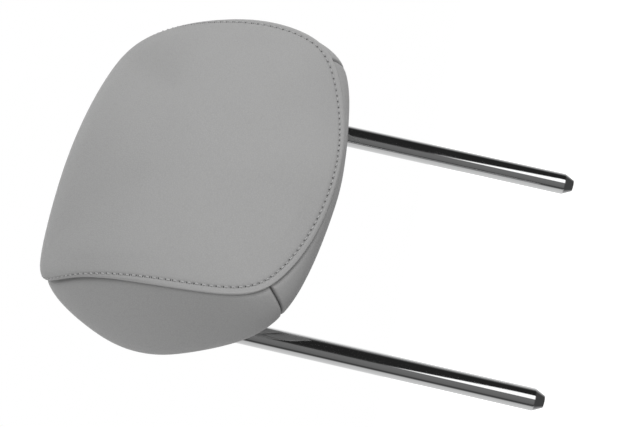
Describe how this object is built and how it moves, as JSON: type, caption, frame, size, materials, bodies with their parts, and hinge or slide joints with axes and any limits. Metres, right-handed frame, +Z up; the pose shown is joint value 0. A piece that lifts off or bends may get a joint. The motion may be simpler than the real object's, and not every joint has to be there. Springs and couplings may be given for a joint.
{
  "type": "chair headrest",
  "caption": "Wedge-shaped padded headrest in grey leather on two straight chromed posts that plug into the top of a chair back.",
  "frame": {"origin": "midway between the free ends of the two posts, at the level of their end faces", "axes": "+Z up along the posts from their free ends to the pad, +X to the right seen from the front, -Y out of the padded front; left and right are as seen from the front"},
  "size_m": [0.2192, 0.114, 0.3204],
  "materials": {
    "chrome": "polished chrome plate",
    "black_trim": "satin moulded plastic",
    "bare_steel": "zinc-plated steel",
    "core_plastic": "moulded ABS",
    "foam": "moulded polyurethane foam",
    "grey_leather": "smooth mid-grey leather with fine grain, satin"
  },
  "bodies": {
    "root": {"post_left": "chrome", "post_right": "chrome", "post_bezel_left": "black_trim", "post_bezel_right": "black_trim", "crossbar": "bare_steel", "core_front_shell": "core_plastic", "core_rear_shell": "core_plastic", "core_screw_lower_left": "bare_steel", "core_screw_lower_right": "bare_steel", "core_screw_upper_left": "bare_steel", "core_screw_upper_right": "bare_steel", "foam_front": "foam", "foam_rear": "foam", "closure_hook_strip": "core_plastic", "closure_catch_strip": "core_plastic", "cover_front_panel": "grey_leather", "cover_side_left": "grey_leather", "cover_side_right": "grey_leather", "cover_bottom_strip": "grey_leather", "cover_back_panel": "grey_leather"}
  },
  "joints": []
}
